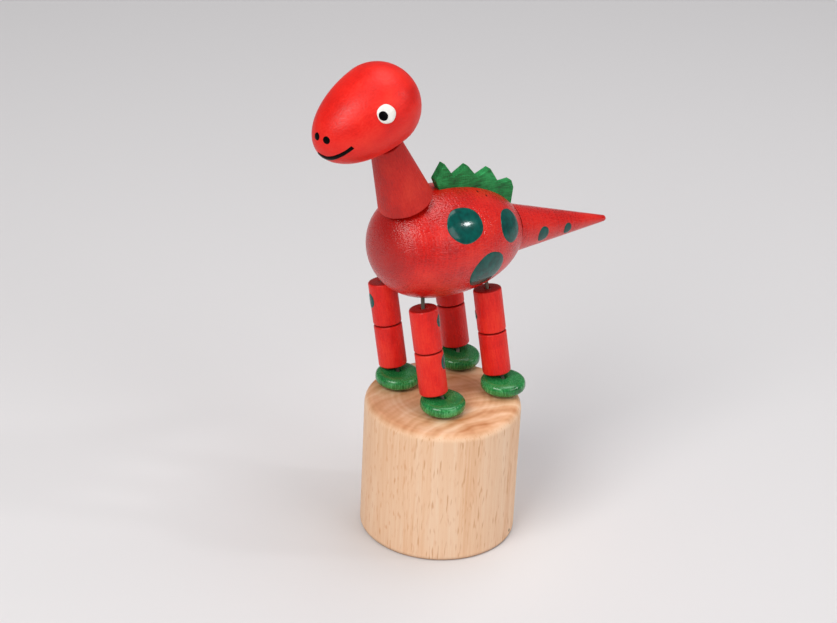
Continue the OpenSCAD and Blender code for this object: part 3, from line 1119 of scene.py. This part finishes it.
@dataclass
class Base:
    """The hollow beech drum, its button and its return spring."""

    radius: float = 19.0
    top_round: float = 2.0
    bottom_round: float = 0.75
    bore_r: float = 16.5
    bore_depth: float = 27.0
    bore_round: float = 0.3
    button_r: float = 16.2
    button_low: float = 5.0
    button_high: float = 13.0
    button_low_round: float = 1.0
    button_high_round: float = 0.5
    # The strings' holes in the button, with pockets for their knots
    button_reach: float = 14.1
    pocket_r: float = 1.7
    pocket_top: float = 7.8
    button_hole_r: float = 1.1
    drill_steps: int = 32
    travel: float = 8.0
    spring_r: float = 5.0
    wire_r: float = 0.45
    spring_turns: int = 5
    turn_steps: int = 24
    # How far each closed end turn of the spring rises
    closed_rise: float = 1.5
    # A painted shadow: a dark drop where a small nick in the bottom edge lies in shade
    mark_at: tuple[float, float, float] = (16.09, 10.11, 1.77)
    mark_size: tuple[float, float] = (0.6, 0.9)
    dent_shadow_height: float = 0.02

    def build(self, looks: Looks) -> Iterator[Piece]:
        """Makes the drum, the button and the spring.

        Args:
            looks: the finishes.

        Yields:
            Each piece.
        """
        drum = turned([
            Corner(0.0, self.bore_depth),
            Corner(self.bore_r, self.bore_depth, self.bore_round),
            Corner(self.bore_r, 0.0, self.bore_round),
            Corner(self.radius, 0.0, self.bottom_round),
            Corner(self.radius, LAYOUT.base_h, self.top_round),
            Corner(0.0, LAYOUT.base_h),
        ], DRUM_STEPS)
        base = Piece("beech_base", drum, looks.beech, Slot.BEECH, flats=True)
        yield base.rides("base", "base_block")
        # A drop of black paint stands in for the shadow inside a small nick near the bottom edge
        yield base.dab(
            "dark_mark", looks.black, Slot.BEECH, Vector(self.mark_at), self.mark_size, self.dent_shadow_height
        )
        disc = turned([
            Corner(0.0, self.button_low),
            Corner(self.button_r, self.button_low, self.button_low_round),
            Corner(self.button_r, self.button_high, self.button_high_round),
            Corner(0.0, self.button_high),
        ], DRUM_STEPS)
        disc = drilled(disc, [self.drill(side, end) for side in Side for end in End])
        button = Piece("beech_button", disc, looks.beech, Slot.BEECH, flats=True)
        yield button.rides("button", "push_button")
        spring = Piece("steel_spring", self.spring(), looks.steel, Slot.STEEL)
        spring.rides("base", "return_spring")
        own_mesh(spring.obj)
        yield spring

    def drill(self, side: Side, end: End) -> BMesh:
        """Makes the stepped drill for one string and its knot in the button.

        Args:
            side: the string's side.
            end: the string's end.

        Returns:
            The closed mesh of what it cuts away.
        """
        past = self.button_high + 1
        drill = turned([
            Corner(0.0, 0.0),
            Corner(self.pocket_r, 0.0),
            Corner(self.pocket_r, self.pocket_top),
            Corner(self.button_hole_r, self.pocket_top),
            Corner(self.button_hole_r, past),
            Corner(0.0, past),
        ], self.drill_steps)
        at = LAYOUT.hole_below(side, end, self.button_reach)
        bmesh.ops.translate(drill, vec=at, verts=drill.verts)
        return drill

    def spring(self) -> BMesh:
        """Winds the spring, its end turns closed.

        Returns:
            The wire as a closed tube.
        """
        low = self.button_high + self.wire_r
        high = self.bore_depth - self.wire_r
        last = self.spring_turns - 1
        line = []
        for i in range(self.spring_turns * self.turn_steps + 1):
            turn = i / self.turn_steps
            if turn < 1:
                z = low + self.closed_rise * turn
            elif turn > last:
                z = high - self.closed_rise * (self.spring_turns - turn)
            else:
                open_rise = high - low - 2 * self.closed_rise
                z = low + self.closed_rise + open_rise * (turn - 1) / (last - 1)
            angle = math.tau * turn
            line.append(Vector((self.spring_r * math.cos(angle), self.spring_r * math.sin(angle), z)))
        return tube(line, [self.wire_r] * len(line))


@dataclass(frozen=True)
class BeadSpot:
    """A spot on a leg's bead: angle round the bead in degrees, height up it and two widths in mm."""

    part: str
    angle: float
    up: float
    size: tuple[float, float]


LEG_SPOTS = {
    "front_right": [BeadSpot("upper", 252.0, 6.4, (3.4, 3.8))],
    "front_left": [
        BeadSpot("upper", 46.0, 7.4, (3.2, 3.2)),
        BeadSpot("lower", 44.0, 7.9, (3.8, 3.7)),
    ],
    "rear_left": [BeadSpot("upper", 236.0, 4.4, (2.8, 2.0))],
}


@dataclass
class Leg:
    """One leg: a flat green foot and two red beads."""

    side: Side
    end: End
    foot_r: float = 5.5
    foot_hole_r: float = 0.75
    # The foot's rim: how far it curves in above and below, and how blunt it is above
    foot_edge: float = 2.2
    foot_under: float = 3.2
    foot_bluntness: float = 3.0
    rim_steps: int = 20
    hole_r: float = 0.8
    hole_round: float = 0.15
    edge: float = 0.5
    spot_height: float = 0.12

    def build(self, looks: Looks) -> Iterator[Piece]:
        """Makes the foot, both beads and their painted spots.

        Args:
            looks: the finishes.

        Yields:
            Each piece.
        """
        name = leg_name(self.side, self.end)
        seat = Seat(tuple(LAYOUT.foot_at(self.side, self.end)))
        foot = Piece(f"green_foot_{name}", self.foot(), looks.green_foot, Slot.GREEN, seat)
        yield foot.rides(f"foot_{name}", f"foot_{name}")
        low = LAYOUT.leg_bottom(self.side, self.end)
        starts = {"lower": low, "upper": low + LAYOUT.leg_way() * (LAYOUT.leg_len + LAYOUT.bead_gap)}
        for part, start in starts.items():
            form = turned([
                Corner(self.hole_r, 0.0, self.hole_round),
                Corner(LAYOUT.leg_r, 0.0, self.edge),
                Corner(LAYOUT.leg_r, LAYOUT.leg_len, self.edge),
                Corner(self.hole_r, LAYOUT.leg_len, self.hole_round),
            ])
            body = f"{part}_leg_{name}"
            seat = Seat(tuple(start), LAYOUT.leg_lean, LAYOUT.leg_side_lean)
            bead = Piece(f"red_{body}", form, looks.red_leg, Slot.RED, seat, flats=True)
            yield bead.rides(body, body)
            for i, spot in enumerate(LEG_SPOTS.get(name, ())):
                if spot.part == part:
                    a = math.radians(spot.angle)
                    near = seat.point(LAYOUT.leg_r * math.cos(a), LAYOUT.leg_r * math.sin(a), spot.up)
                    yield bead.dab(
                        f"spot_{body}_{i}", looks.spot, Slot.GREEN, near, spot.size, self.spot_height,
                        phase=spot.angle,
                    )

    def foot(self) -> BMesh:
        """Turns the foot, blunter above than below.

        Returns:
            The closed mesh.
        """
        half = LAYOUT.foot_t / 2
        rim = []
        for i in range(self.rim_steps + 1):
            t = math.pi * (i / self.rim_steps - 0.5)
            power, edge = (2 / self.foot_bluntness, self.foot_edge) if t > 0 else (1.0, self.foot_under)
            out, rise = (abs(v) ** power for v in (math.cos(t), math.sin(t)))
            rim.append(Corner(self.foot_r - edge * (1 - out), half + math.copysign(half * rise, t)))
        return turned([
            Corner(self.foot_hole_r, 0.0, self.hole_round),
            *rim,
            Corner(self.foot_hole_r, LAYOUT.foot_t, self.hole_round),
        ])


@dataclass(frozen=True)
class Spot:
    """A painted spot: its place in the piece's own frame, its two widths and how it is turned."""

    at: tuple[float, float, float]
    size: tuple[float, float]
    tilt: float = 0.0

    def mirrored(self, seat: Seat, side: Side) -> Vector:
        """The spot's place on one side of a piece, in the toy's frame."""
        left, up, forward = self.at
        return seat.point(side.value * left, up, forward)


BODY_SPOTS = {
    "shoulder": Spot((10.6, 8.2, 1.1), (9.5, 10.2)),
    "haunch": Spot((9.4, 5.7, -14.1), (8.9, 8.4), 20.0),
    "flank": Spot((12.5, -3.6, -6.2), (10.5, 10.7), 40.0),
}
BODY_SPECKS = (Spot((2.9, 12.6, -7.8), (0.7, 0.5)), Spot((4.2, 11.9, -9.7), (0.7, 0.5)))
TAIL_SPOTS = (Spot((6.0, 0.5, 8.3), (3.8, 4.3)), Spot((6.0, 0.5, 17.7), (2.7, 3.2)))


@dataclass
class Torso:
    """The body with its sawn crest, its tail and its painted spots."""

    egg: Egg = Egg(front=17.4, rear=24.0, radius=13.6, bluntness=2.4)
    rise: float = 6.5
    spot_height: float = 0.14
    speck_height: float = 0.05
    # The crest's edges are broken with sandpaper
    crest_break: float = 0.16
    tail_seat: float = 21.4
    tail_droop: float = 3.2
    tail_len: float = 32.5
    tail_edge: float = 0.1
    tip_r: float = 0.7
    tip_round: float = 0.6
    tail_spot_height: float = 0.12

    def seat(self) -> Seat:
        """The body's own frame, +Z forward, +Y up and +X to its left, with the neck square on it."""
        top = LAYOUT.up_neck(-LAYOUT.seat_gap)
        return self.egg.touching(top, 90 - self.rise, LAYOUT.neck_tilt + self.rise)

    def build(self, looks: Looks) -> Iterator[Piece]:
        """Makes the egg, crest, tail and spots.

        Args:
            looks: the finishes.

        Yields:
            Each piece.
        """
        seat = self.seat()
        shell = self.egg.mesh()
        lean = math.radians(self.tail_droop)
        cut = bmesh.ops.bisect_plane(
            shell, geom=shell.verts[:] + shell.edges[:] + shell.faces[:], dist=1e-5, clear_outer=True,
            plane_co=(0, 0, -self.tail_seat), plane_no=(0, -math.sin(lean), -math.cos(lean)),
        )
        bmesh.ops.holes_fill(shell, edges=[e for e in cut["geom_cut"] if isinstance(e, BMEdge)])
        body = Piece("red_body", shell, looks.red_body, Slot.RED, seat).rides("torso", "body")
        yield body
        yield self.crest(looks, seat)
        yield from self.tail(looks, seat)
        for name, spot in BODY_SPOTS.items():
            for side in Side:
                yield body.dab(
                    f"spot_{name}_{side.name.lower()}", looks.spot, Slot.GREEN, spot.mirrored(seat, side),
                    spot.size, self.spot_height, tilt=spot.tilt * side.value, phase=spot.at[0],
                )
        for i, speck in enumerate(BODY_SPECKS):
            yield body.dab(
                f"speck_{i}", looks.black, Slot.RED, seat.point(*speck.at), speck.size, self.speck_height,
                phase=i,
            )

    def crest(self, looks: Looks, seat: Seat) -> Piece:
        """Saws the crest: the CAD plate with its edges broken.

        Args:
            looks: the finishes.
            seat: the body's own frame.

        Returns:
            The crest.
        """
        plate = bmesh.new()
        plate.from_mesh(frame["nodes"]["crest"].data)
        bmesh.ops.scale(plate, vec=(1 / MM, 1 / MM, 1 / MM), verts=plate.verts)
        bmesh.ops.remove_doubles(plate, verts=plate.verts, dist=CAD_WELD_MM)
        bmesh.ops.dissolve_limit(plate, angle_limit=math.radians(1), verts=plate.verts, edges=plate.edges)
        bmesh.ops.transform(plate, matrix=seat.matrix().inverted(), verts=plate.verts)
        bmesh.ops.bevel(
            plate, geom=plate.edges[:], offset=self.crest_break, segments=2, profile=0.5, affect="EDGES",
            clamp_overlap=True, material=-1,
        )
        crest = Piece("green_crest", plate, looks.green_crest, Slot.GREEN, seat, flats=True)
        return crest.rides("torso", "crest")

    def tail(self, looks: Looks, body: Seat) -> Iterator[Piece]:
        """Turns the tail and dabs its spots.

        Args:
            looks: the finishes.
            body: the body's own frame.

        Yields:
            Each piece.
        """
        at = body.point(0.0, 0.0, -self.tail_seat)
        seat = Seat(tuple(at), body.turn - 180 - self.tail_droop)
        cone = turned([
            Corner(0.0, 0.0),
            Corner(self.egg.radius_behind(self.tail_seat), 0.0, self.tail_edge),
            Corner(self.tip_r, self.tail_len - self.tip_r * 0.3, self.tip_round),
            Corner(0.0, self.tail_len),
        ])
        tail = Piece("red_tail", cone, looks.red_body, Slot.RED, seat, flats=True).rides("torso", "tail")
        yield tail
        for i, spot in enumerate(TAIL_SPOTS):
            for side in Side:
                yield tail.dab(
                    f"spot_tail_{i}_{side.name.lower()}", looks.spot, Slot.GREEN, spot.mirrored(seat, side),
                    spot.size, self.tail_spot_height, phase=i,
                )


# The face, in the head's own frame. Nose and mouth were dabbed a little off the middle, to the left:
# their points are distances to the left of the head's axis and above it
EYE = Spot((8.9, 3.7, 2.9), (4.6, 4.4))
PUPIL = Spot((9.3, 4.1, 3.9), (2.3, 2.1))
NOSTRILS = {"left": (2.74, 3.41), "right": (-0.06, 3.69)}
NOSTRIL_SIZE = (1.8, 1.8)
SMILE = ((7.0, 0.6), (6.2, 0.0), (5.15, -0.55), (3.8, -1.1), (2.3, -1.45), (0.9, -1.3), (-0.5, -0.7))
SMILE_WIDTHS = (1.0, 1.0, 1.1, 1.3, 1.6, 1.9, 1.3)


@dataclass
class NeckAndHead:
    """The cone of the neck, and the head with its painted face."""

    neck_r: float = 6.7
    neck_top_r: float = 3.75
    neck_round: float = 0.35
    neck_top_round: float = 0.3
    bore_r: float = 1.6
    bore_round: float = 0.2
    egg: Egg = Egg(front=17.9, rear=9.8, radius=10.0, bluntness=2.0)
    droop: float = 25.7
    # How proud white, pupil and nostril stand, and how flat the mouth's stroke is
    eye_height: float = 0.4
    pupil_height: float = 0.2
    nostril_height: float = 0.1
    smile_flatness: float = 0.22

    def seat(self) -> Seat:
        """The head's own frame, +Z forward, +Y up and +X to its left, resting on the neck's end."""
        top = LAYOUT.up_neck(LAYOUT.neck_len + LAYOUT.seat_gap)
        return self.egg.touching(top, 90 + self.droop, 180 - self.droop + LAYOUT.neck_tilt)

    def build(self, looks: Looks) -> Iterator[Piece]:
        """Makes the neck, the head and the face.

        Args:
            looks: the finishes.

        Yields:
            Each piece.
        """
        cone = turned([
            Corner(self.bore_r, 0.0, self.bore_round),
            Corner(self.neck_r, 0.0, self.neck_round),
            Corner(self.neck_top_r, LAYOUT.neck_len, self.neck_top_round),
            Corner(self.bore_r, LAYOUT.neck_len, self.bore_round),
        ])
        neck_seat = Seat(tuple(LAYOUT.up_neck(0.0)), LAYOUT.neck_tilt)
        neck = Piece("red_neck", cone, looks.red_neck, Slot.RED, neck_seat, flats=True)
        yield neck.rides("neck", "neck")
        seat = self.seat()
        head = Piece("red_head", self.egg.mesh(), looks.red_head, Slot.RED, seat).rides("head", "head")
        yield head
        for side in Side:
            label = side.name.lower()
            eye = head.dab(
                f"eye_{label}", looks.white, Slot.RED, EYE.mirrored(seat, side), EYE.size, self.eye_height,
                phase=1.0,
            )
            yield eye
            yield eye.dab(
                f"pupil_{label}", looks.black, Slot.RED, PUPIL.mirrored(seat, side), PUPIL.size,
                self.pupil_height, phase=2.0,
            )
        for label, (x, y) in NOSTRILS.items():
            yield head.dab(
                f"nostril_{label}", looks.black, Slot.RED, self.on_face(seat, x, y), NOSTRIL_SIZE,
                self.nostril_height, phase=3.0,
            )
        smile = [self.on_face(seat, x, y) for x, y in SMILE]
        mouth = stroke_of_paint(head.skin, smile, SMILE_WIDTHS, self.smile_flatness)
        yield Piece("mouth", mouth, looks.black, Slot.RED).rides("head")

    def on_face(self, seat: Seat, x: float, y: float) -> Vector:
        """The point of the head's front that lies x to the left and y above its axis."""
        return seat.point(x, y, self.egg.front * math.sqrt(1 - (x * x + y * y) / self.egg.radius**2))


@dataclass
class Cords:
    """The four strings, cut where the toy bends, and their knots."""

    base: Base
    radius: float = 0.45
    spacing: float = 0.5
    # Reach of the ceiling's holes from the base's axis
    ceiling_reach: float = 15.1
    # A string slants through its hole: shares of the way from the hole's middle to the foot's
    share_under_ceiling: float = -0.3
    share_on_top: float = 0.38
    # The same above the foot, from the foot's middle to the leg's
    share_on_foot: float = 0.1
    # How far up a leg its string is straight, and how far past a joint each length goes
    leg_start: float = 0.3
    in_bead: float = 6.0
    # A length bends over this much on either side of its joint
    bend_reach: float = 1.2
    # Where a rear string is glued in the body, from the middle of its leg's top
    anchor_in: float = 3.0
    anchor_up: float = 10.0
    # Where a front string runs: aside of the neck's axis, from below the neck into the head
    apart: float = 0.62
    neck_down: float = 14.0
    head_in: float = 7.0
    # The knot, a trefoil of this size
    knot_z: float = 6.4
    knot_size: float = 0.3
    knot_rise: float = 0.55
    knot_r: float = 0.42
    knot_steps: int = 48

    def build(self, looks: Looks) -> Iterator[Piece]:
        """Makes every length of string.

        Args:
            looks: the finishes.

        Yields:
            Each piece.
        """
        for side in Side:
            for end in End:
                yield from self.in_base(looks, side, end)
                yield from self.in_leg(looks, side, end)

    def tie(self, looks: Looks, name: str, points: Sequence[Vector], nodes: Sequence[str] = ()) -> Piece:
        """Makes one length of string through points.

        Args:
            looks: the finishes.
            name: the piece's name.
            points: its route.
            nodes: the CAD nodes that it replaces.

        Returns:
            The length of string.
        """
        line = smooth_line(points, self.spacing)
        piece = Piece(name, tube(line, [self.radius] * len(line)), looks.cord, Slot.CORD)
        if nodes:
            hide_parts(*nodes)
        return piece

    def bend(self, piece: Piece, middle: Vector, way: Vector) -> Piece:
        """Bakes a length of string's place into its mesh.

        Args:
            piece: the length of string.
            middle: not used.
            way: not used.

        Returns:
            The length of string.
        """
        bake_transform(piece.obj)
        return piece

    def above_base(self, side: Side, end: End, share: float, z: float) -> Vector:
        """Finds where a slanting string passes a level in or on the base's ceiling.

        Args:
            side: the string's side.
            end: the string's end.
            share: share of the way from the hole's middle to the foot's.
            z: the level.

        Returns:
            The point.
        """
        foot = LAYOUT.foot_at(side, end)
        hole = LAYOUT.hole_below(side, end, self.ceiling_reach)
        return hole + (Vector((foot.x, foot.y, 0.0)) - hole) * share + UP * z

    def in_base(self, looks: Looks, side: Side, end: End) -> Iterator[Piece]:
        """Makes a string's lowest length, which the button draws in, and its knot.

        Args:
            looks: the finishes.
            side: the string's side.
            end: the string's end.

        Yields:
            Each piece.
        """
        name = leg_name(side, end)
        low = LAYOUT.hole_below(side, end, self.base.button_reach)
        piece = self.tie(looks, f"cord_base_{name}", [
            low + UP * self.knot_z,
            low + UP * self.base.button_high,
            self.above_base(side, end, self.share_under_ceiling, self.base.bore_depth),
            self.above_base(side, end, self.share_on_top, LAYOUT.base_h),
        ])
        piece.rides("base")
        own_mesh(piece.obj)
        yield piece
        line = []
        for i in range(self.knot_steps + 1):
            t = math.tau * i / self.knot_steps
            x = math.sin(t) + 2 * math.sin(2 * t)
            y = math.cos(t) - 2 * math.cos(2 * t)
            z = self.knot_z - math.sin(3 * t) * self.knot_rise
            line.append(low + Vector((x * self.knot_size, y * self.knot_size, z)))
        knot = tube(line, [self.knot_r] * len(line))
        yield Piece(f"knot_{name}", knot, looks.cord, Slot.CORD).rides("button")

    def in_leg(self, looks: Looks, side: Side, end: End) -> Iterator[Piece]:
        """Makes a string's lengths from the base's top to where it ends.

        Args:
            looks: the finishes.
            side: the string's side.
            end: the string's end.

        Yields:
            Each piece.
        """
        name = leg_name(side, end)
        foot, bottom = LAYOUT.foot_at(side, end), LAYOUT.leg_bottom(side, end)
        way = LAYOUT.leg_way()
        knee = bottom + way * LAYOUT.leg_len
        top = bottom + way * (2 * LAYOUT.leg_len + LAYOUT.bead_gap)
        on_foot = foot + Vector((bottom.x - foot.x, bottom.y - foot.y, 0.0)) * self.share_on_foot
        on_foot += UP * LAYOUT.foot_t
        ankle = self.tie(looks, f"cord_ankle_{name}", [
            self.above_base(side, end, self.share_on_top, LAYOUT.base_h),
            on_foot,
            bottom + way * self.leg_start,
            bottom + way * self.in_bead,
        ])
        yield self.bend(ankle, on_foot + way * self.leg_start, way)
        middle = self.tie(
            looks, f"cord_knee_{name}", [bottom + way * self.in_bead, knee, knee + way * self.in_bead]
        )
        yield self.bend(middle, knee, way)
        if end is End.REAR:
            anchor = top + Vector((-side.value * self.anchor_in, 0.0, self.anchor_up))
        else:
            anchor = self.by_neck(side, -self.neck_down)
            yield from self.in_neck(looks, side, name)
        hip = self.tie(
            looks, f"cord_hip_{name}",
            [knee + way * self.in_bead, top, top + (anchor - top) * 0.5, anchor], [f"string_{name}"],
        )
        yield self.bend(hip, top, way)

    def by_neck(self, side: Side, along: float) -> Vector:
        """The point of a front string at a distance up the neck from its lower end."""
        return LAYOUT.up_neck(along) + Vector((side.value * self.apart, 0.0, 0.0))

    def in_neck(self, looks: Looks, side: Side, name: str) -> Iterator[Piece]:
        """Makes a front string's lengths from the body through the neck into the head.

        Args:
            looks: the finishes.
            side: the string's side.
            name: the string's name.

        Yields:
            Each piece.
        """
        way, length = LAYOUT.neck_way(), LAYOUT.neck_len
        ups = {
            ("neck", "torso"): (-self.neck_down, 0.0, length / 2),
            ("head", "neck"): (length / 2, length, length + self.head_in),
        }
        for (upper, lower), levels in ups.items():
            points = [self.by_neck(side, level) for level in levels]
            piece = self.tie(looks, f"cord_{upper}_{name}", points)
            yield self.bend(piece, points[1], way)


@dataclass(frozen=True)
class Lamp:
    """A square soft lamp: its place, its width and its power."""

    name: str
    at_mm: tuple[float, float, float]
    width_mm: float
    watts: float
    colour: str = "FFFFFF"

    def hang(self, target: Vector) -> None:
        """Hangs the lamp, turned to the toy.

        Args:
            target: the point that it shines at, in metres.
        """
        data = bpy.data.lights.new(self.name, "AREA")
        data.shape = "SQUARE"
        data.size = self.width_mm * MM
        data.energy = self.watts
        data.color = linear(self.colour)[:3]
        lamp = put_in_scene(self.name, data)
        lamp.location = Vector(self.at_mm) * MM
        lamp.rotation_mode = "QUATERNION"
        lamp.rotation_quaternion = (lamp.location - target).to_track_quat("Z", "Y")


LAMPS = (
    Lamp("key_softbox", (170, -560, 590), 440, 4.1, "FFFDFA"),
    Lamp("top_softbox", (-40, 190, 840), 560, 3.2),
    Lamp("side_softbox", (620, 160, 420), 360, 1.1),
    Lamp("window", (420, 520, 500), 60, 0.6),
)


@dataclass
class Studio:
    """The pale floor, the soft lights and the camera at the photograph's angle."""

    # The camera, as it was fitted to the photograph's outlines
    aim: tuple[float, float, float] = (-4.282, -5.481, 57.921)
    distance: float = 594.047
    azimuth: float = 52.0
    elevation: float = 28.052
    roll: float = 2.77
    focal_px: float = 2500.0
    width_px: float = 837.0
    sensor_mm: float = 36.0
    # The lamps' aim, the room's light and half the floor's width, in metres
    lit_at: tuple[float, float, float] = (0.0, 0.0, 0.06)
    room_colour: str = "F1F1F5"
    room_strength: float = 0.22
    floor_half: float = 4.0

    def build(self) -> None:
        """Makes the floor, the lights and the camera."""
        self.floor()
        scene = bpy.context.scene
        scene.view_settings.view_transform = "Standard"
        for lamp in LAMPS:
            lamp.hang(Vector(self.lit_at))
        scene.world = bpy.data.worlds.new("room")
        scene.world.use_nodes = True
        sky = scene.world.node_tree.nodes["Background"]
        sky.inputs["Color"].default_value = linear(self.room_colour)
        sky.inputs["Strength"].default_value = self.room_strength
        self.camera()

    def floor(self) -> None:
        """Lays the floor."""
        mesh = bmesh.new()
        bmesh.ops.create_grid(mesh, x_segments=1, y_segments=1, size=self.floor_half)
        floor = put_in_scene("floor", mesh_data("floor", mesh))
        floor.data.materials.append(Paper().make())

    def camera(self) -> None:
        """Sets up the camera, whose frame stands as it does in the photograph."""
        a, e, r = (math.radians(v) for v in (self.azimuth, self.elevation, self.roll))
        back = Vector((math.sin(a) * math.cos(e), -math.cos(a) * math.cos(e), math.sin(e)))
        right = Vector((math.cos(a), math.sin(a), 0.0))
        up = back.cross(right)
        tilted_right = right * math.cos(r) + up * math.sin(r)
        tilted_up = up * math.cos(r) - right * math.sin(r)
        data = bpy.data.cameras.new("camera")
        data.sensor_width = self.sensor_mm
        data.lens = self.focal_px / self.width_px * self.sensor_mm
        data.clip_start, data.clip_end = 0.01, 20.0
        camera = put_in_scene("camera", data)
        place = Matrix((tilted_right, tilted_up, back)).transposed().to_4x4()
        place.translation = (Vector(self.aim) + back * self.distance) * MM
        camera.matrix_world = place
        bpy.context.scene.camera = camera


def main() -> None:
    """Builds the toy, piece by piece, and the studio round it."""
    logging.basicConfig(level=logging.INFO, format="%(name)s: %(message)s")
    looks = Looks()
    base = Base()
    legs = [Leg(side, end) for side in Side for end in End]
    for part in (base, *legs, Torso(), NeckAndHead(), Cords(base)):
        for piece in part.build(looks):
            LOG.info("made %s, %d vertices", piece.obj.name, len(piece.obj.data.vertices))
    Studio().build()


if __name__ == "__main__":
    main()
